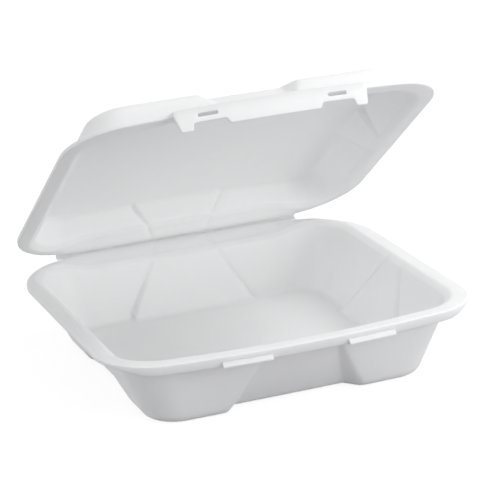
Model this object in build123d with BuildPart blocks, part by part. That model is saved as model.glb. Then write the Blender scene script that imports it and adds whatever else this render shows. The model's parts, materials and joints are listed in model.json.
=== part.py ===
"""Foam clamshell container: a deep base tray and a shallower lid on one living hinge.

Millimetres, +Z up. The origin is the middle of the base's underside, +X runs along
the hinge and -Y is the front, where the lid's lip closes over the base's rim.
Both trays are drawn lying open side up, with the hinge along X at y = 0 and the
rim's face at z = 0, and are then placed.
"""

import os
from math import asin, cos, degrees, hypot, radians, sin

from build123d import *

# Foam sheet, and the thin web pressed into it at the hinge
foam = 2.6
web_thickness = 0.9
web_end_gap = 0.12
mating_gap = 0.3

# Rim, measured from the hinge line to the ends of the bowed front edge
rim_width = 236.0
rim_depth = 215.0
front_bow = 11.0
hinge_setback = 1.4
hinge_length = 168.0
front_corner_radius = 37.0
flange_width = 9.5
rim_edge_radius = 1.0
mouth_bevel = 3.0

# Base tray
base_depth = 47.0
base_back_corner_radius = 54.0
base_side_draft = 21.0
base_front_draft = 8.5
base_back_draft = 9.0

# Lid tray, and how far it stands open at rest
lid_depth = 23.0
lid_back_corner_radius = 48.0
lid_side_draft = 13.0
lid_front_draft = 9.0
lid_back_draft = 5.0
lid_opening = 36.0

# Tray corners in plan, the front wall's bow at the floor, and the floor's edge
wall_corner_radius = 29.0
floor_corner_radius = 20.0
floor_bow = 1.0
floor_edge_radius = 7.0

# Panels pressed into the walls, narrow at the rim and wide at the floor
panel_edge_radius = 2.0
end_panel_top = 20.0
end_panel_spread = 0.5
front_panel_sink = 10.0
back_panel_sink = 3.6
side_panel_top = 7.0
side_panel_spread = 0.72
side_panel_sink = 4.0
facet_lean = 0.8

# Front skirt of the base's rim, and the locking lugs along its lower edge
front_skirt_height = 6.4
front_skirt_thickness = 2.2
front_skirt_taper = 26.0
lug_start = 24.0
lug_length = 30.0
lug_reach = 2.2
lug_height = 3.4

# Lip on the front of the lid's rim, with a pull tab between two teeth
lip_thickness = 1.9
lip_clearance = 0.35
lip_half_length = 60.0
skirt_height = 6.8
tab_height = 10.4
tab_width = 56.0
tab_flare = 5.0
tooth_height = 11.4
tooth_width = 12.0
tooth_tip = 7.0
slot_start = 34.0
slot_length = 12.0
slot_height = 2.2
slot_rise = 1.4
lip_corner_radius = 1.2

# Places worked out from the sizes above
half_rim = rim_width / 2
rim_front = -rim_depth
bow_radius = (half_rim**2 + front_bow**2) / (2 * front_bow)
bow_centre = rim_front - front_bow + bow_radius
wall_side = half_rim - flange_width
wall_back = -hinge_setback - flange_width
wall_front = rim_front + flange_width
wall_middle = (wall_front - front_bow + wall_back) / 2
lip_inner = bow_radius + lug_reach + lip_clearance
lip_outer = lip_inner + lip_thickness
hinge_y = (base_back_draft - wall_back + rim_depth - flange_width - base_front_draft + floor_bow) / 2
hinge_z = base_depth + mating_gap / 2
base_drafts = (base_side_draft, base_front_draft, base_back_draft)
lid_drafts = (lid_side_draft, lid_front_draft, lid_back_draft)


def draw_outline(plane, side, back, front, bow, back_radius, front_radius):
    """A rounded outline on a plane, with a front edge that bows outward."""
    with BuildSketch(plane) as outline:
        with BuildLine():
            Polyline((side, front), (side, back), (-side, back), (-side, front))
            ThreePointArc((-side, front), (0, front - bow), (side, front))
        make_face()
        fillet(outline.vertices().sort_by(Axis.Y)[-2:], back_radius)
        fillet(outline.vertices().sort_by(Axis.Y)[:2], front_radius)
    return outline.sketch


def rim_outline(plane, back_radius, inset=0.0):
    """The rim's outline, or one inset from it."""
    return draw_outline(
        plane,
        half_rim - inset,
        -hinge_setback - inset,
        rim_front + inset,
        front_bow,
        back_radius - inset,
        front_corner_radius - inset,
    )


def wall_outline(plane, side_inset, front_inset, back_inset, bow, radius):
    """An outline of the tray's walls, inset from where they leave the flange."""
    return draw_outline(
        plane,
        wall_side - side_inset,
        wall_back - back_inset,
        wall_front + front_inset,
        bow,
        radius,
        radius,
    )


def tapered_body(depth, drafts, sinks, inward):
    """A round-cornered body from the rim's face to the floor, with a rounded floor edge."""
    side, front, back = [draft + sink for draft, sink in zip(drafts, sinks)]
    share = (depth - inward) / depth
    with BuildPart() as body:
        mouth = wall_outline(Plane.XY, inward, inward, inward, front_bow, wall_corner_radius - inward)
        floor = wall_outline(
            Plane.XY.offset(inward - depth),
            inward + side * share,
            inward + front * share,
            inward + back * share,
            floor_bow,
            floor_corner_radius - inward,
        )
        loft([mouth, floor])
        fillet(body.faces().sort_by(Axis.Z)[0].edges(), floor_edge_radius - inward)
    return body.part


def panel_cutter(depth, outward, wall_top, wall_floor, half_top, half_floor, sink, inward):
    """The wedge that clears one panel, with slanted facets on both sides of it."""
    widened = inward * (hypot(1, facet_lean) - facet_lean)
    along = outward.cross(Vector(0, 0, 1))
    sections = []
    for height in (1.0, -depth - 1.0):
        fall = -height / depth
        half = half_top + (half_floor - half_top) * fall + widened
        wall = wall_top + (wall_floor - wall_top) * fall - inward
        inner = wall - sink - 1.0
        outer = wall + flange_width
        with BuildSketch(Plane((0, wall_middle, height), x_dir=along, z_dir=(0, 0, 1))) as section:
            Polygon(
                (half + facet_lean * (outer - wall), outer),
                (half + facet_lean * (inner - wall), inner),
                (-half - facet_lean * (inner - wall), inner),
                (-half - facet_lean * (outer - wall), outer),
                align=None,
            )
        sections.append(section.sketch)
    with BuildPart() as cutter:
        loft(sections, ruled=True)
    return cutter.part


def panelled_body(depth, drafts, inward):
    """The tapered body with a panel sunk into each of its four walls."""
    side, front, back = drafts
    half_floor = end_panel_top + end_panel_spread * depth
    side_half_floor = side_panel_top + side_panel_spread * depth
    to_front = wall_middle - wall_front
    to_back = wall_back - wall_middle
    with BuildPart() as body:
        add(tapered_body(depth, drafts, (0.0, 0.0, 0.0), inward))
        add(
            panel_cutter(
                depth,
                Vector(0, -1, 0),
                to_front + front_bow,
                to_front + floor_bow - front,
                end_panel_top,
                half_floor,
                front_panel_sink,
                inward,
            ),
            mode=Mode.SUBTRACT,
        )
        add(
            panel_cutter(
                depth,
                Vector(0, 1, 0),
                to_back,
                to_back - back,
                end_panel_top,
                half_floor,
                back_panel_sink,
                inward,
            ),
            mode=Mode.SUBTRACT,
        )
        for outward in (Vector(1, 0, 0), Vector(-1, 0, 0)):
            add(
                panel_cutter(
                    depth,
                    outward,
                    wall_side,
                    wall_side - side,
                    side_panel_top,
                    side_half_floor,
                    side_panel_sink,
                    inward,
                ),
                mode=Mode.SUBTRACT,
            )
        sinks = (side_panel_sink, front_panel_sink, back_panel_sink)
        add(tapered_body(depth, drafts, sinks, inward))
        facets = body.edges(Select.LAST).filter_by(lambda edge: edge.bounding_box().size.Z > depth / 2)
        fillet(facets, panel_edge_radius)
    return body.part


def mouth_body(depth, drafts, drop, inward):
    """The flared ring that rounds the flange into the walls."""
    side, front, back = [draft * (drop + mouth_bevel) / depth for draft in drafts]
    flare = inward - mouth_bevel
    with BuildPart() as body:
        top = wall_outline(
            Plane.XY.offset(-drop), flare, flare, flare, front_bow, wall_corner_radius - flare
        )
        foot = wall_outline(
            Plane.XY.offset(-drop - mouth_bevel),
            inward + side,
            inward + front,
            inward + back,
            front_bow,
            wall_corner_radius - inward,
        )
        loft([top, foot])
    return body.part


def tray(depth, drafts, back_radius):
    """A tray of one sheet: flange, flared mouth, panelled walls and half the hinge web."""
    with BuildPart() as shell:
        with BuildSketch():
            add(rim_outline(Plane.XY, back_radius))
        extrude(amount=-foam)
        fillet(shell.edges().group_by(Axis.Z)[-1], rim_edge_radius)
        add(mouth_body(depth, drafts, foam, 0.0))
        add(panelled_body(depth, drafts, 0.0))
        add(mouth_body(depth, drafts, 0.0, foam), mode=Mode.SUBTRACT)
        add(panelled_body(depth, drafts, foam), mode=Mode.SUBTRACT)
        web_reach = hinge_setback + 2 * rim_edge_radius - web_end_gap
        with BuildSketch():
            with Locations((0, -web_end_gap)):
                Rectangle(hinge_length, web_reach, align=(Align.CENTER, Align.MAX))
        extrude(amount=-web_thickness)
    return shell.part


# Skirt under the front of the base's rim, dying out towards the corners
with BuildPart() as front_skirt:
    with BuildSketch(Plane.XY.offset(-front_skirt_height)):
        add(rim_outline(Plane.XY, base_back_corner_radius))
        add(rim_outline(Plane.XY, base_back_corner_radius, front_skirt_thickness), mode=Mode.SUBTRACT)
        with Locations((0, rim_front)):
            Rectangle(rim_width, front_corner_radius + front_bow, mode=Mode.INTERSECT)
    extrude(amount=front_skirt_height - rim_edge_radius)
    with BuildSketch(Plane.XZ.offset(rim_depth)):
        Polygon(
            (half_rim, 0),
            (half_rim, -foam),
            (half_rim - front_skirt_taper, -front_skirt_height),
            (front_skirt_taper - half_rim, -front_skirt_height),
            (-half_rim, -foam),
            (-half_rim, 0),
            align=None,
        )
    extrude(amount=2 * front_corner_radius, both=True, mode=Mode.INTERSECT)

# Lugs that the lid's lip slips over, one each side of the middle
with BuildPart() as lugs:
    lug_angle = asin(lug_start / bow_radius)
    lug_plane = Plane(
        (0, bow_centre, 0),
        x_dir=(sin(lug_angle), -cos(lug_angle), 0),
        z_dir=(-cos(lug_angle), -sin(lug_angle), 0),
    )
    with BuildSketch(lug_plane):
        with BuildLine():
            Polyline(
                (bow_radius - front_skirt_thickness / 2, -front_skirt_height),
                (bow_radius + lug_reach, -front_skirt_height),
                (bow_radius + lug_reach, lug_height - lug_reach - front_skirt_height),
                (bow_radius, lug_height - front_skirt_height),
                (bow_radius - front_skirt_thickness / 2, lug_height - front_skirt_height),
                close=True,
            )
        make_face()
    revolve(axis=Axis((0, bow_centre, 0), (0, 0, 1)), revolution_arc=degrees(lug_length / bow_radius))
    mirror(about=Plane.YZ)

# Apron and lip along the front of the lid, with the lip's edge cut as seen from the front
with BuildPart() as lip:
    tooth_centre = lip_half_length - tooth_width / 2
    with BuildSketch():
        with Locations((0, bow_centre)):
            Circle(lip_outer)
            Circle(lip_inner, mode=Mode.SUBTRACT)
        with Locations((0, rim_front)):
            Rectangle(2 * lip_half_length, 4 * front_bow, mode=Mode.INTERSECT)
    extrude(amount=tooth_height)
    with BuildSketch(Plane.XZ.offset(rim_depth)) as elevation:
        Rectangle(2 * tooth_centre, skirt_height, align=(Align.CENTER, Align.MIN))
        Polygon(
            (tab_width / 2 + tab_flare, 0),
            (tab_width / 2, tab_height),
            (-tab_width / 2, tab_height),
            (-tab_width / 2 - tab_flare, 0),
            align=None,
        )
        for centre in (-tooth_centre, tooth_centre):
            Polygon(
                (centre + tooth_width / 2, 0),
                (centre + tooth_tip / 2, tooth_height),
                (centre - tooth_tip / 2, tooth_height),
                (centre - tooth_width / 2, 0),
                align=None,
            )
        fillet(elevation.vertices().filter_by(lambda corner: corner.Z > 1), lip_corner_radius)
        with Locations((0, slot_rise + slot_height / 2)):
            for middle in (-slot_start - slot_length / 2, slot_start + slot_length / 2):
                with Locations((middle, 0)):
                    SlotOverall(slot_length, slot_height, mode=Mode.SUBTRACT)
    extrude(amount=4 * front_bow, both=True, mode=Mode.INTERSECT)
    with BuildSketch(Plane.XY.offset(-foam)):
        with Locations((0, bow_centre)):
            Circle(lip_outer)
            Circle(bow_radius - front_skirt_thickness, mode=Mode.SUBTRACT)
        with Locations((0, rim_front)):
            Rectangle(2 * lip_half_length, 4 * front_bow, mode=Mode.INTERSECT)
    extrude(amount=foam)

with BuildPart() as base:
    with Locations((0, hinge_y, base_depth)):
        add(tray(base_depth, base_drafts, base_back_corner_radius))
        add(front_skirt.part)
        add(lugs.part)
base.part.label = "base"

# The lid is folded over the base by turning its frame about the hinge line
opening = radians(lid_opening)
lid_frame = Plane(
    (0, hinge_y, hinge_z),
    x_dir=(-1, 0, 0),
    z_dir=(0, -sin(opening), -cos(opening)),
)
with BuildPart() as lid:
    with Locations(lid_frame.offset(-mating_gap / 2).location):
        add(tray(lid_depth, lid_drafts, lid_back_corner_radius))
        add(lip.part)
lid.part.label = "lid"

os.makedirs("parts", exist_ok=True)
export_step(base.part, "parts/base.step")
export_step(lid.part, "parts/lid.step")
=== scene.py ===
"""Foam clamshell container: the trays, the locking lip, the lugs and the living hinge, on a studio floor.

Metres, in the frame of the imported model. Both trays are drawn lying open side up, with the hinge along X at
y = 0 and the rim's face at z = 0, and are then placed on the hinge line.
"""

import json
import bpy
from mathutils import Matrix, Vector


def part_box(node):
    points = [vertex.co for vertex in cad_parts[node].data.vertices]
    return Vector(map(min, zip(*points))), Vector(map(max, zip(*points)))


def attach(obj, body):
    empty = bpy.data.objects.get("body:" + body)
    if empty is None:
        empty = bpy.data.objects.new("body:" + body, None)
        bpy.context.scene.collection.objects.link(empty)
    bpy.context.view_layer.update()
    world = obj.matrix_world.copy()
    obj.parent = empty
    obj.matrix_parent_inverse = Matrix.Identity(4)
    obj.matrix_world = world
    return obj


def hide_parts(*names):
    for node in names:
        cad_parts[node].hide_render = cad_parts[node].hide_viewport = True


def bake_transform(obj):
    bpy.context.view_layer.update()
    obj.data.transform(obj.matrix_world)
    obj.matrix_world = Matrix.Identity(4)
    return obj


bl_info = {
    "name": "Foam Clamshell Container",
    "version": (1, 0, 0),
    "blender": (4, 5, 0),
    "location": "3D View > Sidebar > Container",
    "description": "Builds a hinged foam food container with its foam finish, and a studio stage for it",
    "category": "Add Mesh",
}

from math import atan2, cos, pi, radians, sin, sqrt
from typing import NamedTuple

import bmesh
import bpy
import numpy as np
from bpy.props import FloatProperty, FloatVectorProperty, PointerProperty
from mathutils import Matrix, Vector

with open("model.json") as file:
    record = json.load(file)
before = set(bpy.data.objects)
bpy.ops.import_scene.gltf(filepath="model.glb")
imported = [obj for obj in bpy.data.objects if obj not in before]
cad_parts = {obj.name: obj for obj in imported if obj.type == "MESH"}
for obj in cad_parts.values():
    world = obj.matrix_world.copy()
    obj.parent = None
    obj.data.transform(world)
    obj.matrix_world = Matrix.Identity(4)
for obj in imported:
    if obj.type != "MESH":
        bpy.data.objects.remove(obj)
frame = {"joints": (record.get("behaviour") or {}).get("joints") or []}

BASE_LOW, BASE_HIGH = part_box("base")
HINGE = Vector(frame["joints"][0]["pos_m"])
LIFT = HINGE.z - BASE_HIGH[2]
OPENING = radians(36.0)

# Points along each side, corner and end of a ring
SIDE_STEPS, CORNER_STEPS, END_STEPS = 128, 22, 164

# Rings down a wall and round a floor's edge, and the sizes of those on the floor, as shares of its flat part
WALL_LEVELS, FLOOR_EDGE_STEPS = 22, 9
FLOOR_SHARES = (0.93, 0.85, 0.75, 0.63, 0.5, 0.37, 0.24, 0.12, 0.04)

# Rings along the hinge web
WEB_STATIONS = 85

# Shares of a floor over which a pressed panel runs out, and of the depth over which its creases begin
PRESS_FADE = (0.45, 1.0)
CREASE_START = (-0.02, 0.06)

# Where the slope of the back flange fades: to both sides, to the front, and down to a share of the depth
SLOPE_SIDES = (0.058, 0.095)
SLOPE_BEHIND = (-0.050, -0.022)
SLOPE_TOP, SLOPE_FOOT = 0.003, 0.8

# Depths at which the flange's upper face ends, and shares of the flange over which its creases deepen
UPPER_FACE = (0.0018, 0.0025)
CREASE_ALONG = (-0.3, 0.4)

# How the front skirt fades out to both sides and to the back, and the apron at its ends
SKIRT_SIDES = (0.002, 0.024)
SKIRT_BACK = (-0.004, 0.030)
APRON_FADE = 0.001

# How far a tray's profile is rounded off at the wall, the mouth and the skirt
WALL_BEND, MOUTH_BEND = 0.0018, 0.0016
SKIRT_OUTSIDE, SKIRT_INSIDE, SKIRT_ROOT = 0.0009, 0.0007, 0.0008

# The longest rounding of a corner, as a share of the shorter side next to it
PATH_SHARE, CORNER_SHARE = 0.49, 0.45

# Edges sharper than these stay visible: on the lip and the lugs, and on the web
SHARP, WEB_SHARP = radians(50), radians(60)

# Where the camera looks, from the hinge, and where the lamps are aimed
AIM = Vector((0.011546, -0.104779, 0.018561))
LAMP_TARGET = Vector((0.0, 0.0, 0.07))


# Properties


def length(name, default, description):
    """A size that a user may change."""
    return FloatProperty(
        name=name, description=description, default=default, min=0.0, unit="LENGTH", precision=5
    )


def ratio(name, default, description):
    """A share or a strength that a user may change."""
    return FloatProperty(name=name, description=description, default=default, min=0.0, precision=3)


def angle(name, degrees, description):
    """An angle that a user may change."""
    return FloatProperty(name=name, description=description, default=radians(degrees), subtype="ANGLE")


def power(name, default, description):
    """The power of a lamp."""
    return FloatProperty(name=name, description=description, default=default, min=0.0, subtype="POWER")


def tone(name, default, description):
    """A colour that a user may change."""
    return FloatVectorProperty(
        name=name, description=description, default=default, subtype="COLOR", min=0.0, max=1.0
    )


class SheetSizes(bpy.types.PropertyGroup):
    """The rim and the foam sheet that both trays share."""

    foam: length("Foam", 0.0026, "Thickness of the foam sheet")
    rim_width: length("Rim width", BASE_HIGH[0] - BASE_LOW[0], "Width across the rim")
    rim_depth: length("Rim depth", 0.215, "From the hinge line to the ends of the bowed front edge")
    front_bow: length("Front bow", 0.011, "How far the front edge bows outward")
    hinge_setback: length("Hinge setback", 0.0014, "From the hinge line to the rim's back edge")
    flange: length("Flange", 0.0095, "Width of the flat flange round the mouth")
    front_corner: length("Front corner", 0.037, "Radius of the rim's front corners")
    wall_corner: length("Wall corner", 0.029, "Radius of the walls' corners at the mouth")
    floor_corner: length("Floor corner", 0.020, "Radius of the walls' corners at the floor")
    floor_bow: length("Floor bow", 0.001, "Bow of the front wall's foot")
    floor_edge: length("Floor edge", 0.007, "Radius between walls and floor")
    mouth: length("Mouth", 0.003, "Bevel between flange and walls")
    rim_edge: length("Rim edge", 0.0016, "Softness of the rim's edges")
    panel_edge: length("Panel edge", 0.0006, "Softness of the pressed panels' edges")
    groove: length("Groove", 0.0008, "Depth of the creases along the pressed panels, inside")
    outer_groove: length("Outer groove", 0.0004, "Depth of the creases along the pressed panels, outside")
    groove_width: length("Groove width", 0.0013, "Half width of the creases")
    side_panel: length("Side panel", 0.007, "Half of a side panel's width at the rim")
    end_panel: length("End panel", 0.020, "Half of the front and back panels' width at the rim")
    side_spread: ratio("Side spread", 0.72, "Widening of half a side panel, as a share of the way down")
    end_spread: ratio("End spread", 0.5, "Widening of half an end panel, as a share of the way down")
    facet_lean: ratio("Facet lean", 0.8, "Width of a panel's slanted facets, as a share of their depth")
    side_sink: length("Side sink", 0.004, "How deep the side panels are pressed at the floor")
    back_sink: length("Back sink", 0.0036, "How deep the back panel is pressed at the floor")
    front_sink: length("Front sink", 0.010, "How deep the front panel is pressed at the floor")
    hinge_panel: length("Hinge panel", 0.0175, "Half of the way between the flange's creases at the hinge")
    flange_panel: length("Flange panel", 0.0215, "Half of the way between those creases at the mouth")
    apron_end: length("Apron end", 0.0595, "From the middle to the ends of the lid's apron")
    skirt_wall: length("Skirt wall", 0.0022, "Thickness of the front skirt")
    skirt_lean: length("Skirt lean", 0.0009, "How far the foot of the front skirt leans in")
    skirt_step: length("Skirt step", 0.0004, "From the skirt's inner face to its root")
    web_half: length("Web half length", 0.084, "From the middle to the ends of the hinge web")


class TraySizes(bpy.types.PropertyGroup):
    """One tray: its depth, its drafts and the panels pressed into its walls."""

    depth: length("Depth", 0.047, "From the rim's face to the underside of the floor")
    back_corner: length("Back corner", 0.054, "Radius of the rim's back corners")
    side_draft: length("Side draft", 0.021, "How far the side walls lean in over the depth")
    front_draft: length("Front draft", 0.0085, "How far the front wall leans in over the depth")
    back_draft: length("Back draft", 0.009, "How far the back wall leans in over the depth")
    skirt: length("Front skirt", 0.0, "Height of the skirt under the front of the rim")
    apron: length("Front apron", 0.0, "How far the front of the rim stands out to carry the lip")
    back_slope: length("Back slope", 0.0055, "How far the back flange slopes down to the back wall")


class LockSizes(bpy.types.PropertyGroup):
    """The lip on the lid and the lugs on the base."""

    thickness: length("Lip thickness", 0.0019, "Thickness of the lip")
    clearance: length("Lip clearance", 0.00035, "Room between the lip and the lugs")
    half_length: length("Lip half length", 0.060, "Half of the lip's length")
    skirt_height: length("Skirt height", 0.0068, "Height of the lip between its tab and teeth")
    tab_height: length("Tab height", 0.0104, "Height of the pull tab")
    tab_width: length("Tab width", 0.056, "Width of the pull tab's edge")
    tab_flare: length("Tab flare", 0.005, "How much wider the tab's root is on each side")
    tooth_height: length("Tooth height", 0.0114, "Height of the two end teeth")
    tooth_width: length("Tooth width", 0.012, "Width of a tooth at its root")
    tooth_tip: length("Tooth tip", 0.007, "Width of a tooth at its tip")
    slot_start: length("Slot start", 0.034, "From the middle to the near end of each slot")
    slot_length: length("Slot length", 0.012, "Length of each slot")
    slot_height: length("Slot height", 0.0022, "Height of each slot")
    slot_rise: length("Slot rise", 0.0014, "From the rim's face to the slots")
    lug_start: length("Lug start", 0.024, "From the middle to the near end of each lug")
    lug_length: length("Lug length", 0.030, "Length of each lug")
    lug_reach: length("Lug reach", 0.0022, "How far the lugs stand out")
    lug_height: length("Lug height", 0.0034, "Height of the lugs")


class FoamLook(bpy.types.PropertyGroup):
    """Colours and finish of the foam."""

    colour: tone("Foam", (0.95, 0.951, 0.951), "Colour of the foam's skin")
    shade: tone("Shade", (0.935, 0.937, 0.94), "Colour of the slightly denser patches in the skin")
    pressed: tone("Pressed", (0.935, 0.937, 0.94), "Colour of the thin pressed foam at the hinge")
    cell: length("Cell", 0.0009, "Size of the foam's cells")
    roughness: ratio("Roughness", 0.42, "Roughness of the skin")


class StudioSettings(bpy.types.PropertyGroup):
    """Camera, lamps and floor."""

    azimuth: angle("Azimuth", -20.68, "Angle of the camera round the container")
    elevation: angle("Elevation", 18.29, "Height of the camera above the horizon")
    roll: angle("Roll", -3.33, "Turn of the camera about its own axis")
    distance: length("Distance", 1.4133, "From the camera to the point it looks at")
    lens: FloatProperty(name="Lens", description="Focal length of the camera", default=163.7, min=1.0)
    key: power("Key", 7.5, "Power of the lamp above the right side")
    front: power("Front", 1.9, "Power of the high front lamp")
    fill: power("Fill", 7.0, "Power of the low lamp at the front right")
    side: power("Side", 3.7, "Power of the lamp at the left")
    lamp_size: length("Lamp size", 0.7, "Width of each soft box")
    ambient: ratio("Ambient", 0.5, "Strength of the studio's even light")
    floor_glow: ratio("Floor glow", 0.84, "Light that the floor gives off where the background shows")
    floor_reach: length("Floor reach", 6.0, "From the middle of the floor to its sides")


class ContainerSettings(bpy.types.PropertyGroup):
    """All settings of the container."""

    sheet: PointerProperty(type=SheetSizes, name="Sheet", description="Rim and foam sheet")
    base: PointerProperty(type=TraySizes, name="Base", description="Base tray")
    lid: PointerProperty(type=TraySizes, name="Lid", description="Lid tray")
    lock: PointerProperty(type=LockSizes, name="Lock", description="Lip and lugs")
    look: PointerProperty(type=FoamLook, name="Look", description="Foam finish")
    studio: PointerProperty(type=StudioSettings, name="Studio", description="Camera and lamps")


# Outlines and rings of points


def arc(centre, radius, start, end, steps):
    """Points on an arc, without its last one."""
    angles = np.linspace(start, end, steps, endpoint=False)
    return np.column_stack((centre[0] + radius * np.cos(angles), centre[1] + radius * np.sin(angles)))


def line(start, end, steps):
    """Points on a line, without its last one."""
    along = np.linspace(0.0, 1.0, steps, endpoint=False)[:, None]
    return np.array(start) * (1 - along) + np.array(end) * along


def ring(side, back, front, bow, back_radius, front_radius, height):
    """A ring round a bowed, round-cornered outline, with the same number of points on each stretch."""
    bow_radius = (side**2 + bow**2) / (2 * bow)
    bow_centre = front - bow + bow_radius
    front_x = side - front_radius
    front_y = bow_centre - sqrt((bow_radius - front_radius) ** 2 - front_x**2)
    turn = atan2(front_x, bow_centre - front_y)
    back_x, back_y = side - back_radius, back - back_radius
    flat = np.concatenate((
        line((side, front_y), (side, back_y), SIDE_STEPS),
        arc((back_x, back_y), back_radius, 0.0, pi / 2, CORNER_STEPS),
        line((back_x, back), (-back_x, back), END_STEPS),
        arc((-back_x, back_y), back_radius, pi / 2, pi, CORNER_STEPS),
        line((-side, back_y), (-side, front_y), SIDE_STEPS),
        arc((-front_x, front_y), front_radius, pi, 1.5 * pi - turn, CORNER_STEPS),
        arc((0.0, bow_centre), bow_radius, 1.5 * pi - turn, 1.5 * pi + turn, END_STEPS),
        arc((front_x, front_y), front_radius, 1.5 * pi + turn, 2 * pi, CORNER_STEPS),
    ))
    heights = np.broadcast_to(height, (len(flat),))
    return np.column_stack((flat, heights))


def rounded_path(keys):
    """Rings along a profile. Each key is a ring, how far it is rounded off, and in how many steps."""
    path = [keys[0][0]]
    for before, (key, soft, steps), after in zip(keys, keys[1:], keys[2:]):
        if not soft:
            path.append(key)
            continue
        back, ahead = before[0] - key, after[0] - key
        back_length = np.maximum(np.linalg.norm(back, axis=1, keepdims=True), 1e-9)
        ahead_length = np.maximum(np.linalg.norm(ahead, axis=1, keepdims=True), 1e-9)
        reach = np.minimum(soft, np.minimum(back_length, ahead_length) * PATH_SHARE)
        start, end = key + back / back_length * reach, key + ahead / ahead_length * reach
        for step in np.linspace(0.0, 1.0, steps):
            path.append((1 - step) ** 2 * start + 2 * step * (1 - step) * key + step**2 * end)
    path.append(keys[-1][0])
    return path


def soft_min(first, second, soft):
    """The smaller of two values, with the change from one to the other rounded off."""
    blend = np.clip(0.5 + 0.5 * (second - first) / soft, 0.0, 1.0)
    return second * (1 - blend) + first * blend - soft * blend * (1 - blend)


def smooth_step(value, low, high):
    """From 0 at low to 1 at high, easing in and out."""
    share = np.clip((value - low) / (high - low), 0.0, 1.0)
    return share * share * (3 - 2 * share)


class Panel(NamedTuple):
    """A panel pressed into one stretch of the walls: narrow at the rim and wide at the floor."""

    stretch: slice
    axis: int
    centre: float
    push: tuple
    top: float
    spread: float
    sink: float


def panel_press(points, edge_points, depth, inward, panel, sheet):
    """How far a pressed panel moves each point of a wall inward, with a crease along its edges."""
    lean = sheet.facet_lean
    fall = np.clip(-points[:, 2] / depth, 0.0, 1.0)
    half = panel.top + panel.spread * depth * fall + inward * (sqrt(1 + lean**2) - lean)
    within = half - np.abs(edge_points[:, panel.axis] - panel.centre)
    ramp = within / lean
    pressed = -soft_min(-ramp, np.zeros_like(ramp), sheet.panel_edge)
    groove = np.exp(-((within / sheet.groove_width) ** 2)) * smooth_step(fall, *CREASE_START)
    deep = -sheet.groove if inward else sheet.outer_groove
    return soft_min(pressed, panel.sink * fall, sheet.panel_edge) + deep * groove


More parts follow.
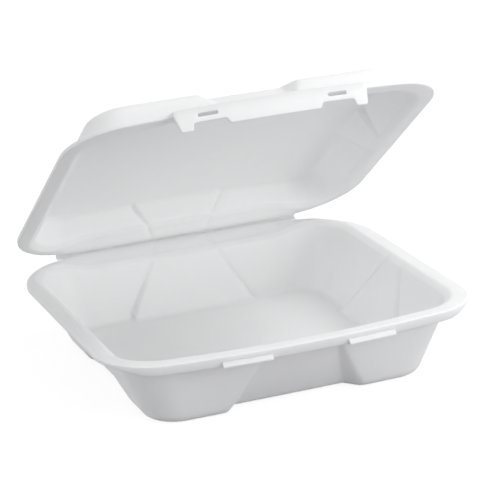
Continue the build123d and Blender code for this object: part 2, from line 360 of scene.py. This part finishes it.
def tray_rings(sheet, tray):
    """The rings of a closed tray, from the middle of its floor round its rim to the middle underneath."""
    half = sheet.rim_width / 2
    front = -sheet.rim_depth
    wall_side = half - sheet.flange
    wall_back = -sheet.hinge_setback - sheet.flange
    wall_front = front + sheet.flange
    middle = (wall_front - sheet.front_bow + wall_back) / 2
    stretches = (SIDE_STEPS, CORNER_STEPS, END_STEPS, CORNER_STEPS, SIDE_STEPS, CORNER_STEPS, END_STEPS)
    starts = np.cumsum((0, *stretches))
    right, back, left, ahead = (slice(starts[n], starts[n + 1]) for n in (0, 2, 4, 6))
    panels = (
        Panel(right, 1, middle, (-1.0, 0.0), sheet.side_panel, sheet.side_spread, sheet.side_sink),
        Panel(left, 1, middle, (1.0, 0.0), sheet.side_panel, sheet.side_spread, sheet.side_sink),
        Panel(back, 0, 0.0, (0.0, -1.0), sheet.end_panel, sheet.end_spread, sheet.back_sink),
        Panel(ahead, 0, 0.0, (0.0, 1.0), sheet.end_panel, sheet.end_spread, sheet.front_sink),
    )

    def rim(inset, height, stand=0.0):
        """The rim's outline, which stands out at the front where the lip is carried."""
        points = ring(
            half - inset, -sheet.hinge_setback - inset, front + inset, sheet.front_bow,
            tray.back_corner - inset, sheet.front_corner - inset, height,
        )
        beyond = np.abs(points[ahead, 0]) - sheet.apron_end
        points[ahead, 1] -= stand * (1 - smooth_step(beyond, -APRON_FADE, APRON_FADE))
        return points

    def mouth(inward, height):
        """The outline of the mouth, where the bevel between flange and walls begins."""
        out = sheet.mouth - inward
        corner = sheet.wall_corner + out
        back, front = wall_back + out, wall_front - out
        return ring(wall_side + out, back, front, sheet.front_bow, corner, corner, height)

    def wall(height, inward, extra=0.0):
        """The walls' outline at a height, before the panels are pressed in."""
        fall = -height / tray.depth
        share = min(-height / (tray.depth - inward), 1.0)
        radius = sheet.wall_corner + (sheet.floor_corner - sheet.wall_corner) * share - inward - extra
        bow = sheet.front_bow + (sheet.floor_bow - sheet.front_bow) * share
        return ring(
            wall_side - inward - extra - tray.side_draft * fall,
            wall_back - inward - extra - tray.back_draft * fall,
            wall_front + inward + extra + tray.front_draft * fall,
            bow, radius, radius, height,
        )

    def pressed(points, edge, inward, share=1.0):
        """A ring with the panels pressed in, by a share of their depth."""
        moved = points.copy()
        for panel in panels:
            here = panel.stretch
            push = panel_press(points[here], edge[here], tray.depth, inward, panel, sheet) * share
            moved[here, 0] += panel.push[0] * push
            moved[here, 1] += panel.push[1] * push
        return moved

    def skin(inward, mouth_top):
        """The wall's rings from the mouth to the middle of the floor."""
        floor = inward - tray.depth
        levels = np.linspace(mouth_top - sheet.mouth, floor, WALL_LEVELS)[:-1]
        walls = [wall(level, inward) for level in levels]
        radius = sheet.floor_edge - inward
        # How far the floor's edge is rounded off, and how far inside it the flat floor starts
        reach, inset = 0.95 * radius, 1.6 * radius
        corner, inner = wall(floor, inward), wall(floor, inward, inset)
        above = wall(floor + 2.2 * reach, inward)
        edge = rounded_path([(above, 0, 1), (corner, reach, FLOOR_EDGE_STEPS), (inner, 0, 1)])[1:]
        path = [pressed(points, points, inward) for points in walls if points[0, 2] > floor + reach]
        path += [pressed(points, corner, inward) for points in edge]
        centre = np.array((0.0, middle, floor))
        for share in FLOOR_SHARES:
            points = centre + (inner - centre) * share
            path.append(pressed(points, corner, inward, smooth_step(share, *PRESS_FADE)))
        return path

    def sloped(points):
        """The back of the flange slopes down from the hinge, and the panel's creases run on over it."""
        side, fall = np.abs(points[:, 0]), -points[:, 2]
        beside = 1 - smooth_step(side, *SLOPE_SIDES)
        behind = smooth_step(points[:, 1], *SLOPE_BEHIND)
        edge = -sheet.hinge_setback - sheet.rim_edge
        past_edge = (edge - points[:, 1]) / (sheet.flange - sheet.mouth)
        along = np.clip(past_edge, 0.0, 1.0)
        fade = 1 - smooth_step(fall, SLOPE_TOP, SLOPE_FOOT * tray.depth)
        moved = points.copy()
        moved[:, 2] -= tray.back_slope * beside * behind * along * fade
        half_panel = sheet.hinge_panel + (sheet.flange_panel - sheet.hinge_panel) * along
        crease = np.exp(-(((side - half_panel) / sheet.groove_width) ** 2))
        # The ring right on the flange's edge belongs to its upper face
        upper = (1 - smooth_step(fall, *UPPER_FACE)) * (past_edge > -1e-6)
        moved[:, 2] -= sheet.groove * crease * upper * behind * smooth_step(along, *CREASE_ALONG)
        return moved

    outer = rim(0.0, 0.0)
    across = smooth_step(half - np.abs(outer[:, 0]), *SKIRT_SIDES)
    front_mask = across * (1 - smooth_step(outer[:, 1] - front, *SKIRT_BACK))
    lip_edge = -sheet.foam
    skirt_foot = lip_edge - max(tray.skirt - sheet.foam, 0.0) * front_mask
    inner_skin, outer_skin = skin(sheet.foam, 0.0), skin(0.0, lip_edge)
    mouth_in, mouth_out = mouth(sheet.foam, 0.0), mouth(0.0, lip_edge)
    stand = tray.apron
    face_edge = rim(sheet.rim_edge, 0.0, stand)
    feet = [rim(inset, skirt_foot, stand) for inset in (0.0, sheet.skirt_wall)]
    for foot in feet:
        foot[:, 1] += sheet.skirt_lean * front_mask * (tray.skirt > 0)
    keys = [
        (inner_skin[1], 0.0, 1),
        (inner_skin[0], WALL_BEND, 5),
        (mouth_in, MOUTH_BEND, 5),
        ((mouth_in + face_edge) / 2, 0.0, 1),
        (face_edge, 0.0, 1),
        (rim(0.0, 0.0, stand), sheet.rim_edge, 7),
        (feet[0], SKIRT_OUTSIDE, 5),
        (feet[1], SKIRT_INSIDE, 4),
        (rim(sheet.skirt_wall + sheet.skirt_step, lip_edge, stand), SKIRT_ROOT, 4),
        (mouth_out, MOUTH_BEND, 5),
        (outer_skin[0], WALL_BEND, 5),
        (outer_skin[1], 0.0, 1),
    ]
    return [sloped(points) for points in inner_skin[:1:-1] + rounded_path(keys) + outer_skin[2:]]


# Meshes


def place_on_base(points):
    """From the drawing position to the base."""
    return np.asarray(points) + np.array((0.0, HINGE.y, BASE_HIGH[2]))


def place_on_lid(points):
    """From the drawing position to the lid, folded over the base and standing open."""
    points = np.asarray(points)
    back = HINGE.y + LIFT * sin(OPENING)
    up = HINGE.z + LIFT * cos(OPENING)
    return np.column_stack((
        -points[:, 0],
        back + points[:, 1] * cos(OPENING) - points[:, 2] * sin(OPENING),
        up - points[:, 1] * sin(OPENING) - points[:, 2] * cos(OPENING),
    ))


def put(name, data):
    """A new object at the origin of the scene."""
    made = bpy.data.objects.new(name, data)
    bpy.context.scene.collection.objects.link(made)
    return made


def add_piece(name, points, faces, material):
    """A smooth mesh object at the origin."""
    mesh = bpy.data.meshes.new(name)
    mesh.from_pydata([tuple(point) for point in points], [], faces)
    mesh.validate()
    mesh.update()
    mesh.shade_smooth()
    mesh.materials.append(material)
    return put(name, mesh)


def mesh_of(holder):
    """The mesh that an object's curve or modifier makes. The object itself is removed."""
    graph = bpy.context.evaluated_depsgraph_get()
    mesh = bpy.data.meshes.new_from_object(holder.evaluated_get(graph))
    bpy.data.objects.remove(holder)
    if not mesh.polygons:
        raise RuntimeError(f"{mesh.name} came out empty")
    return mesh


def settle(form, mesh, place):
    """Puts a form in its place and writes it to its mesh, smooth but for its sharp edges."""
    placed = place([vertex.co[:] for vertex in form.verts])
    for vertex, spot in zip(form.verts, placed):
        vertex.co = spot
    bmesh.ops.recalc_face_normals(form, faces=form.faces)
    form.to_mesh(mesh)
    form.free()
    mesh.shade_smooth()
    mesh.set_sharp_from_angle(angle=SHARP)


def tray_piece(name, rings, place, material):
    """A closed tray from its rings, with a single point in the middle of the floor on both sides."""
    count = len(rings[0])
    points = np.concatenate(rings)
    middles = [rings[0].mean(axis=0), rings[-1].mean(axis=0)]
    points = place(np.concatenate((points, middles)))
    last = (len(rings) - 1) * count
    first_middle, last_middle = len(points) - 2, len(points) - 1
    faces = []
    for row in range(len(rings) - 1):
        for column in range(count):
            ahead = (column + 1) % count
            faces.append((
                row * count + column, (row + 1) * count + column,
                (row + 1) * count + ahead, row * count + ahead,
            ))
    for column in range(count):
        ahead = (column + 1) % count
        faces.append((first_middle, column, ahead))
        faces.append((last_middle, last + ahead, last + column))
    return add_piece(name, points, faces, material)


# Foam finish


def socket(group, name, kind, direction, default=None):
    """A named socket on a node group."""
    made = group.interface.new_socket(name=name, in_out=direction, socket_type=kind)
    if default is not None:
        made.default_value = default


def math_node(nodes, operation, second=None):
    """A Math node, with its second input set where one is given."""
    made = nodes.new("ShaderNodeMath")
    made.operation = operation
    if second is not None:
        made.inputs[1].default_value = second
    return made


def foam_skin_group():
    """Node group for the skin of pressed foam: faint mottling, cells and soft waves."""
    name = "Foam Skin"
    if name in bpy.data.node_groups:
        return bpy.data.node_groups[name]
    group = bpy.data.node_groups.new(name, "ShaderNodeTree")
    socket(group, "Skin", "NodeSocketColor", "INPUT", (0.86, 0.86, 0.86, 1.0))
    socket(group, "Dense", "NodeSocketColor", "INPUT", (0.82, 0.82, 0.82, 1.0))
    socket(group, "Cell Scale", "NodeSocketFloat", "INPUT", 1100.0)
    socket(group, "Roughness Base", "NodeSocketFloat", "INPUT", 0.42)
    socket(group, "Color", "NodeSocketColor", "OUTPUT")
    socket(group, "Roughness", "NodeSocketFloat", "OUTPUT")
    socket(group, "Height", "NodeSocketFloat", "OUTPUT")
    nodes, links = group.nodes, group.links
    entry, leave = nodes.new("NodeGroupInput"), nodes.new("NodeGroupOutput")
    place = nodes.new("ShaderNodeTexCoord")
    mottle = nodes.new("ShaderNodeTexNoise")
    mottle.inputs["Scale"].default_value = 70.0
    mottle.inputs["Detail"].default_value = 5.0
    cells = nodes.new("ShaderNodeTexVoronoi")
    cells.feature = "SMOOTH_F1"
    cells.inputs["Smoothness"].default_value = 0.6
    grain = nodes.new("ShaderNodeTexNoise")
    grain.inputs["Detail"].default_value = 2.0
    waves = nodes.new("ShaderNodeTexNoise")
    waves.inputs["Scale"].default_value = 22.0
    waves.inputs["Detail"].default_value = 1.0
    tint = nodes.new("ShaderNodeMix")
    tint.data_type = "RGBA"
    spread = nodes.new("ShaderNodeMapRange")
    spread.inputs["From Min"].default_value = 0.35
    spread.inputs["From Max"].default_value = 0.7
    rough = math_node(nodes, "MULTIPLY_ADD", 0.12)
    cell_height = math_node(nodes, "MULTIPLY_ADD", 0.22)
    wave_height = math_node(nodes, "MULTIPLY_ADD", 3.0)
    for texture in (mottle, cells, grain, waves):
        links.new(place.outputs["Object"], texture.inputs["Vector"])
    links.new(entry.outputs["Cell Scale"], cells.inputs["Scale"])
    links.new(entry.outputs["Cell Scale"], grain.inputs["Scale"])
    links.new(mottle.outputs["Fac"], spread.inputs["Value"])
    links.new(spread.outputs["Result"], tint.inputs["Factor"])
    links.new(entry.outputs["Skin"], tint.inputs["A"])
    links.new(entry.outputs["Dense"], tint.inputs["B"])
    links.new(tint.outputs["Result"], leave.inputs["Color"])
    links.new(mottle.outputs["Fac"], rough.inputs[0])
    links.new(entry.outputs["Roughness Base"], rough.inputs[2])
    links.new(rough.outputs["Value"], leave.inputs["Roughness"])
    links.new(cells.outputs["Distance"], cell_height.inputs[0])
    links.new(grain.outputs["Fac"], cell_height.inputs[2])
    links.new(waves.outputs["Fac"], wave_height.inputs[0])
    links.new(cell_height.outputs["Value"], wave_height.inputs[2])
    links.new(wave_height.outputs["Value"], leave.inputs["Height"])
    return group


def foam_material(name, skin, dense, cell, roughness, bump):
    """Foam with a smooth skin: soft light inside, a faint satin gloss and fine cells."""
    if name in bpy.data.materials:
        return bpy.data.materials[name]
    material = bpy.data.materials.new(name)
    material.use_nodes = True
    nodes, links = material.node_tree.nodes, material.node_tree.links
    shader = nodes["Principled BSDF"]
    shader.inputs["Subsurface Weight"].default_value = 0.5
    shader.inputs["Subsurface Radius"].default_value = (1.0, 1.0, 1.0)
    shader.inputs["Subsurface Scale"].default_value = 0.006
    shader.inputs["IOR"].default_value = 1.45
    shader.inputs["Specular IOR Level"].default_value = 0.42
    foam = nodes.new("ShaderNodeGroup")
    foam.node_tree = foam_skin_group()
    foam.inputs["Skin"].default_value = (*skin, 1.0)
    foam.inputs["Dense"].default_value = (*dense, 1.0)
    foam.inputs["Cell Scale"].default_value = 1.0 / cell
    foam.inputs["Roughness Base"].default_value = roughness
    relief = nodes.new("ShaderNodeBump")
    relief.inputs["Strength"].default_value = bump
    relief.inputs["Distance"].default_value = 0.00012
    links.new(foam.outputs["Color"], shader.inputs["Base Color"])
    links.new(foam.outputs["Roughness"], shader.inputs["Roughness"])
    links.new(foam.outputs["Height"], relief.inputs["Height"])
    links.new(relief.outputs["Normal"], shader.inputs["Normal"])
    return material


def skin_material(look):
    """The foam skin of both trays, the lip and the lugs."""
    bump = 0.5
    return foam_material("foam skin", look.colour, look.shade, look.cell, look.roughness, bump)


def pressed_material(look):
    """The denser foam that is pressed thin, with smaller cells and a smoother skin."""
    cell, roughness, bump = look.cell * 0.6, look.roughness - 0.06, 0.35
    return foam_material("pressed foam", look.pressed, look.shade, cell, roughness, bump)


# Operators


class ContainerOperator:
    """Shared by every operator here."""

    bl_options = {"REGISTER", "UNDO"}

    @property
    def settings(self):
        return bpy.context.scene.foam_container


class MESH_OT_container_base(ContainerOperator, bpy.types.Operator):
    """Build the deep base tray with its flange, pressed panels and front skirt"""

    bl_idname = "mesh.container_base"
    bl_label = "Base Tray"

    def execute(self, context):
        settings = self.settings
        rings = tray_rings(settings.sheet, settings.base)
        piece = tray_piece("base_tray", rings, place_on_base, skin_material(settings.look))
        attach(piece, "base")
        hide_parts("base")
        return {"FINISHED"}


class MESH_OT_container_lid(ContainerOperator, bpy.types.Operator):
    """Build the shallower lid tray"""

    bl_idname = "mesh.container_lid"
    bl_label = "Lid Tray"

    def execute(self, context):
        settings = self.settings
        rings = tray_rings(settings.sheet, settings.lid)
        piece = tray_piece("lid_tray", rings, place_on_lid, skin_material(settings.look))
        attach(piece, "lid")
        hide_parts("lid")
        return {"FINISHED"}


def bow_of(sheet):
    """Radius and centre of the bowed front edge."""
    half = sheet.rim_width / 2
    radius = (half**2 + sheet.front_bow**2) / (2 * sheet.front_bow)
    return radius, -sheet.rim_depth - sheet.front_bow + radius


def rounded_corners(corners, radius, steps=4):
    """A closed outline with its corners rounded off."""
    points = []
    count = len(corners)
    for index, corner in enumerate(corners):
        here = Vector(corner)
        before, after = Vector(corners[index - 1]) - here, Vector(corners[(index + 1) % count]) - here
        reach = min(radius, before.length * CORNER_SHARE, after.length * CORNER_SHARE)
        start, end = here + before.normalized() * reach, here + after.normalized() * reach
        for step in range(steps + 1):
            share = step / steps
            points.append((1 - share) ** 2 * start + 2 * share * (1 - share) * here + share**2 * end)
    return points


class MESH_OT_container_lip(ContainerOperator, bpy.types.Operator):
    """Build the lip on the front of the lid, with its pull tab, teeth and slots"""

    bl_idname = "mesh.container_lip"
    bl_label = "Locking Lip"

    def execute(self, context):
        settings = self.settings
        lock, sheet = settings.lock, settings.sheet
        tooth = lock.half_length - lock.tooth_width / 2
        root = -sheet.foam
        tooth_lean = (lock.tooth_width - lock.tooth_tip) / 2 / lock.tooth_height
        tab_lean = lock.tab_flare / lock.tab_height
        inner_foot = tooth - lock.tooth_width / 2 + tooth_lean * lock.skirt_height
        tab_foot = lock.tab_width / 2 + lock.tab_flare - tab_lean * lock.skirt_height
        right = [
            (tab_foot, lock.skirt_height),
            (inner_foot, lock.skirt_height),
            (tooth - lock.tooth_tip / 2, lock.tooth_height),
            (tooth + lock.tooth_tip / 2, lock.tooth_height),
            (lock.half_length, 0.0),
            (lock.half_length, root),
        ]
        left = [(-x, z) for x, z in reversed(right)]
        tab = [(-lock.tab_width / 2, lock.tab_height), (lock.tab_width / 2, lock.tab_height)]
        edge, corner, slot_corner, stride = 0.0005, 0.0013, 0.0011, 0.003
        outlines = [rounded_corners(left + tab + right, corner)]
        low, high = lock.slot_rise, lock.slot_rise + lock.slot_height
        for side in (-1, 1):
            centre = side * (lock.slot_start + lock.slot_length / 2)
            near, far = centre - lock.slot_length / 2, centre + lock.slot_length / 2
            slot = [(near, low), (near, high), (far, high), (far, low)]
            outlines.append(rounded_corners(slot, slot_corner, 6))
        curve = bpy.data.curves.new("lip_outline", "CURVE")
        curve.dimensions = "2D"
        curve.fill_mode = "BOTH"
        curve.extrude = lock.thickness / 2 - edge
        curve.bevel_depth = edge
        curve.bevel_resolution = 2
        curve.offset = -edge
        for outline in outlines:
            spline = curve.splines.new("POLY")
            spline.points.add(len(outline) - 1)
            for point, place in zip(spline.points, outline):
                point.co = (place[0], place[1], 0.0, 1.0)
            spline.use_cyclic_u = True
        mesh = mesh_of(put("lip_outline", curve))
        form = bmesh.new()
        form.from_mesh(mesh)
        bmesh.ops.remove_doubles(form, verts=form.verts, dist=1e-6)
        for cut in np.arange(-lock.half_length + stride, lock.half_length, stride):
            bmesh.ops.bisect_plane(
                form, geom=form.verts[:] + form.edges[:] + form.faces[:],
                plane_co=(cut, 0, 0), plane_no=(1, 0, 0),
            )
        bow_radius, bow_centre = bow_of(sheet)
        middle = bow_radius + lock.lug_reach + lock.clearance + lock.thickness / 2
        for vertex in form.verts:
            x, height, out = vertex.co
            reach, angle = middle + out, x / middle
            vertex.co = (reach * sin(angle), bow_centre - reach * cos(angle), height)
        settle(form, mesh, place_on_lid)
        mesh.name = "lid_lip"
        mesh.materials.clear()
        mesh.materials.append(skin_material(settings.look))
        piece = put("lid_lip", mesh)
        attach(piece, "lid")
        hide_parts("lid")
        return {"FINISHED"}


def lug_tree(material):
    """Geometry Nodes that sweep a lug's section along the bowed rim and mirror it."""
    tree = bpy.data.node_groups.new("Rim Lugs", "GeometryNodeTree")
    socket(tree, "Section", "NodeSocketGeometry", "INPUT")
    for name, default in (("Rim Radius", 0.6), ("Rim Centre", 0.4), ("Start", 0.02), ("Length", 0.03)):
        socket(tree, name, "NodeSocketFloat", "INPUT", default)
    socket(tree, "Lugs", "NodeSocketGeometry", "OUTPUT")
    nodes, links = tree.nodes, tree.links
    entry, leave = nodes.new("NodeGroupInput"), nodes.new("NodeGroupOutput")
    path = nodes.new("GeometryNodeCurveArc")
    path.inputs["Resolution"].default_value = 20
    start, sweep = math_node(nodes, "DIVIDE"), math_node(nodes, "DIVIDE")
    turn = math_node(nodes, "ADD", 1.5 * pi)
    centre = nodes.new("ShaderNodeCombineXYZ")
    move = nodes.new("GeometryNodeTransform")
    section = nodes.new("GeometryNodeMeshToCurve")
    solid = nodes.new("GeometryNodeCurveToMesh")
    solid.inputs["Fill Caps"].default_value = True
    mirror = nodes.new("GeometryNodeTransform")
    mirror.inputs["Scale"].default_value = (-1.0, 1.0, 1.0)
    flip = nodes.new("GeometryNodeFlipFaces")
    join = nodes.new("GeometryNodeJoinGeometry")
    real = nodes.new("GeometryNodeRealizeInstances")
    paint = nodes.new("GeometryNodeSetMaterial")
    paint.inputs["Material"].default_value = material
    links.new(entry.outputs["Start"], start.inputs[0])
    links.new(entry.outputs["Rim Radius"], start.inputs[1])
    links.new(entry.outputs["Length"], sweep.inputs[0])
    links.new(entry.outputs["Rim Radius"], sweep.inputs[1])
    links.new(start.outputs["Value"], turn.inputs[0])
    links.new(entry.outputs["Rim Radius"], path.inputs["Radius"])
    links.new(turn.outputs["Value"], path.inputs["Start Angle"])
    links.new(sweep.outputs["Value"], path.inputs["Sweep Angle"])
    links.new(entry.outputs["Rim Centre"], centre.inputs["Y"])
    links.new(path.outputs["Curve"], move.inputs["Geometry"])
    links.new(centre.outputs["Vector"], move.inputs["Translation"])
    links.new(move.outputs["Geometry"], solid.inputs["Curve"])
    links.new(entry.outputs["Section"], section.inputs["Mesh"])
    links.new(section.outputs["Curve"], solid.inputs["Profile Curve"])
    links.new(solid.outputs["Mesh"], mirror.inputs["Geometry"])
    links.new(mirror.outputs["Geometry"], flip.inputs["Mesh"])
    links.new(solid.outputs["Mesh"], join.inputs["Geometry"])
    links.new(flip.outputs["Mesh"], join.inputs["Geometry"])
    links.new(join.outputs["Geometry"], real.inputs["Geometry"])
    links.new(real.outputs["Geometry"], paint.inputs["Geometry"])
    links.new(paint.outputs["Geometry"], leave.inputs["Lugs"])
    return tree


class MESH_OT_container_lugs(ContainerOperator, bpy.types.Operator):
    """Build the two lugs under the front of the base's rim"""

    bl_idname = "mesh.container_lugs"
    bl_label = "Locking Lugs"

    def execute(self, context):
        settings = self.settings
        lock, sheet = settings.lock, settings.sheet
        root, soft = -0.0012, 0.0006
        foot = -settings.base.skirt
        top = foot + lock.lug_height
        corners = [
            (root, foot), (lock.lug_reach, foot), (lock.lug_reach, top - lock.lug_reach),
            (0.0, top), (root, top),
        ]
        outline = rounded_corners(corners, soft)
        count = len(outline)
        points = [(point.x, -point.y, 0.0) for point in outline]
        mesh = bpy.data.meshes.new("lug_section")
        mesh.from_pydata(points, [(n, (n + 1) % count) for n in range(count)], [])
        holder = put("lug_section", mesh)
        modifier = holder.modifiers.new("Rim Lugs", "NODES")
        modifier.node_group = lug_tree(skin_material(settings.look))
        radius, centre = bow_of(sheet)
        values = {
            "Rim Radius": radius, "Rim Centre": centre, "Start": lock.lug_start, "Length": lock.lug_length,
        }
        for item in modifier.node_group.interface.items_tree:
            if item.item_type == "SOCKET" and item.in_out == "INPUT" and item.name in values:
                modifier[item.identifier] = values[item.name]
        made = mesh_of(holder)
        made.name = "base_lugs"
        form = bmesh.new()
        form.from_mesh(made)
        settle(form, made, place_on_base)
        piece = put("base_lugs", made)
        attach(piece, "base")
        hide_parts("base")
        return {"FINISHED"}


class MESH_OT_container_hinge(ContainerOperator, bpy.types.Operator):
    """Build the thin pressed web between the two rims, drawn folded at the lid's opening"""

    bl_idname = "mesh.container_hinge"
    bl_label = "Living Hinge"

    def execute(self, context):
        settings = self.settings
        sheet = settings.sheet
        overlap, thin, thick, grip = 0.0014, 0.00005, 0.0009, 0.0016
        reach = sheet.hinge_setback + overlap
        # Points of the section along one rim: how far from the hinge line, and how far past the rim's face
        arm = [(reach, thin), (0.0011, thin), (0.0005, 0.0)]
        outer_arm = [(0.0004, 0.0006), (0.0011, thick), (reach, thick)]
        # Points of the fold itself, inside and outside, from the hinge line
        fold = [(-0.00015, 0.00005)]
        outer_fold = [(0.00042, 0.00016), (0.00046, -0.0001), (0.0003, -0.0004)]

        def on_base(out, down):
            return -out, -LIFT - down

        def on_lid(out, up):
            along, across = -out, LIFT + up
            turned = along * cos(OPENING) + across * sin(OPENING)
            return turned, -along * sin(OPENING) + across * cos(OPENING)

        section = [on_base(out, down) for out, down in arm]
        section += fold
        section += [on_lid(out, up) for out, up in reversed(arm)]
        section += [on_lid(out, up) for out, up in reversed(outer_arm)]
        section += outer_fold
        section += [on_base(out, down) for out, down in outer_arm]
        stations = np.linspace(-sheet.web_half, sheet.web_half, WEB_STATIONS)
        count = len(section)
        points = [(x, HINGE.y + y, HINGE.z + z) for x in stations for y, z in section]
        faces = [
            (row * count + n, row * count + after, (row + 1) * count + after, (row + 1) * count + n)
            for row in range(len(stations) - 1)
            for n, after in zip(range(count), (*range(1, count), 0))
        ]
        faces.append(tuple(range(count)))
        faces.append(tuple(reversed(range(len(points) - count, len(points)))))
        piece = add_piece("hinge_web", points, faces, pressed_material(settings.look))
        form = bmesh.new()
        form.from_mesh(piece.data)
        bmesh.ops.recalc_face_normals(form, faces=form.faces)
        form.to_mesh(piece.data)
        form.free()
        piece.data.set_sharp_from_angle(angle=WEB_SHARP)
        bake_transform(piece)
        return {"FINISHED"}


# Stage


def looked_at(nodes, links):
    """1 for the rays that show the background: those of the camera, of reflections and of clear material."""
    path = nodes.new("ShaderNodeLightPath")
    value = path.outputs["Is Camera Ray"]
    for ray in ("Is Glossy Ray", "Is Transmission Ray"):
        either = math_node(nodes, "MAXIMUM")
        links.new(value, either.inputs[0])
        links.new(path.outputs[ray], either.inputs[1])
        value = either.outputs["Value"]
    return value


def floor_material(strength):
    """A grey floor that looks white where the background shows, and keeps a soft shadow."""
    material = bpy.data.materials.new("studio floor")
    material.use_nodes = True
    nodes, links = material.node_tree.nodes, material.node_tree.links
    nodes.clear()
    leave = nodes.new("ShaderNodeOutputMaterial")
    paint = nodes.new("ShaderNodeBsdfDiffuse")
    paint.inputs["Color"].default_value = (0.36, 0.36, 0.37, 1.0)
    seen = nodes.new("ShaderNodeBsdfDiffuse")
    seen.inputs["Color"].default_value = (0.3, 0.3, 0.3, 1.0)
    glow = nodes.new("ShaderNodeEmission")
    glow.inputs["Color"].default_value = (1.0, 1.0, 1.0, 1.0)
    glow.inputs["Strength"].default_value = strength
    both = nodes.new("ShaderNodeAddShader")
    choose = nodes.new("ShaderNodeMixShader")
    links.new(seen.outputs["BSDF"], both.inputs[0])
    links.new(glow.outputs["Emission"], both.inputs[1])
    links.new(looked_at(nodes, links), choose.inputs["Fac"])
    links.new(paint.outputs["BSDF"], choose.inputs[1])
    links.new(both.outputs["Shader"], choose.inputs[2])
    links.new(choose.outputs["Shader"], leave.inputs["Surface"])
    return material


def soft_box(name, place, size, strength):
    """A square lamp aimed at the container."""
    lamp = bpy.data.lights.new(name, "AREA")
    lamp.shape = "SQUARE"
    lamp.size = size
    lamp.energy = strength
    holder = put(name, lamp)
    holder.location = place
    holder.rotation_euler = (LAMP_TARGET - Vector(place)).to_track_quat("-Z", "Y").to_euler()


class SCENE_OT_container_stage(ContainerOperator, bpy.types.Operator):
    """Build the floor, the even studio light, the soft boxes and the camera"""

    bl_idname = "scene.container_stage"
    bl_label = "Studio Stage"

    def execute(self, context):
        studio = self.settings.studio
        scene = bpy.context.scene
        scene.view_settings.view_transform = "Standard"
        reach = studio.floor_reach
        corners = [(-reach, -reach, 0), (reach, -reach, 0), (reach, reach, 0), (-reach, reach, 0)]
        mesh = bpy.data.meshes.new("floor")
        mesh.from_pydata(corners, [], [(0, 1, 2, 3)])
        mesh.materials.append(floor_material(studio.floor_glow))
        floor = put("floor", mesh)
        world = bpy.data.worlds.new("studio")
        scene.world = world
        world.use_nodes = True
        nodes, links = world.node_tree.nodes, world.node_tree.links
        nodes.clear()
        leave = nodes.new("ShaderNodeOutputWorld")
        even = nodes.new("ShaderNodeBackground")
        even.inputs["Color"].default_value = (0.985, 0.99, 1.0, 1.0)
        even.inputs["Strength"].default_value = studio.ambient
        white = nodes.new("ShaderNodeBackground")
        white.inputs["Color"].default_value = (1.0, 1.0, 1.0, 1.0)
        white.inputs["Strength"].default_value = 1.0
        choose = nodes.new("ShaderNodeMixShader")
        links.new(looked_at(nodes, links), choose.inputs["Fac"])
        links.new(even.outputs["Background"], choose.inputs[1])
        links.new(white.outputs["Background"], choose.inputs[2])
        links.new(choose.outputs["Shader"], leave.inputs["Surface"])
        for name, place, strength in (
            ("key soft box", (0.9, -0.1, 1.0), studio.key),
            ("front soft box", (0.0, -1.2, 1.0), studio.front),
            ("low soft box", (0.9, -1.2, 0.35), studio.fill),
            ("side soft box", (-1.4, -0.1, 0.4), studio.side),
        ):
            soft_box(name, place, studio.lamp_size, strength)
        turn, rise, roll = studio.azimuth, studio.elevation, studio.roll
        back = Vector((sin(turn) * cos(rise), -cos(turn) * cos(rise), sin(rise)))
        right = Vector((cos(turn), sin(turn), 0.0))
        up = back.cross(right)
        across = right * cos(roll) + up * sin(roll)
        above = up * cos(roll) - right * sin(roll)
        camera = bpy.data.cameras.new("camera")
        camera.lens = studio.lens
        camera.sensor_width = 36.0
        holder = put("camera", camera)
        turned = Matrix((across, above, back)).transposed().to_4x4()
        holder.matrix_world = Matrix.Translation(HINGE + AIM + back * studio.distance) @ turned
        scene.camera = holder
        return {"FINISHED"}


# Panel and registration


class VIEW3D_PT_container(bpy.types.Panel):
    """Lists the container's pieces and settings"""

    bl_label = "Foam Container"
    bl_idname = "VIEW3D_PT_container"
    bl_space_type = "VIEW_3D"
    bl_region_type = "UI"
    bl_category = "Container"

    def draw(self, context):
        layout = self.layout
        for operator in OPERATORS:
            layout.operator(operator.bl_idname)
        settings = context.scene.foam_container
        for part in ("sheet", "base", "lid", "lock", "look", "studio"):
            group = getattr(settings, part)
            box = layout.box()
            for name in group.__annotations__:
                box.prop(group, name)


OPERATORS = (
    MESH_OT_container_base,
    MESH_OT_container_lid,
    MESH_OT_container_lip,
    MESH_OT_container_lugs,
    MESH_OT_container_hinge,
    SCENE_OT_container_stage,
)
CLASSES = (
    SheetSizes,
    TraySizes,
    LockSizes,
    FoamLook,
    StudioSettings,
    ContainerSettings,
    *OPERATORS,
    VIEW3D_PT_container,
)


def register():
    for made in CLASSES:
        bpy.utils.register_class(made)
    bpy.types.Scene.foam_container = PointerProperty(type=ContainerSettings)


def unregister():
    del bpy.types.Scene.foam_container
    for made in reversed(CLASSES):
        bpy.utils.unregister_class(made)


def main():
    """Builds every piece in order."""
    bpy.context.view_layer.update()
    register()
    settings = bpy.context.scene.foam_container
    settings.base.skirt = 0.0064
    lid = settings.lid
    lid.depth, lid.back_corner = 0.023, 0.048
    lid.side_draft, lid.front_draft, lid.back_draft = 0.013, 0.009, 0.005
    lid.apron, lid.back_slope = 0.0043, 0.0045
    bpy.ops.mesh.container_base()
    bpy.ops.mesh.container_lid()
    bpy.ops.mesh.container_lip()
    bpy.ops.mesh.container_lugs()
    bpy.ops.mesh.container_hinge()
    bpy.ops.scene.container_stage()


if __name__ == "__main__":
    main()
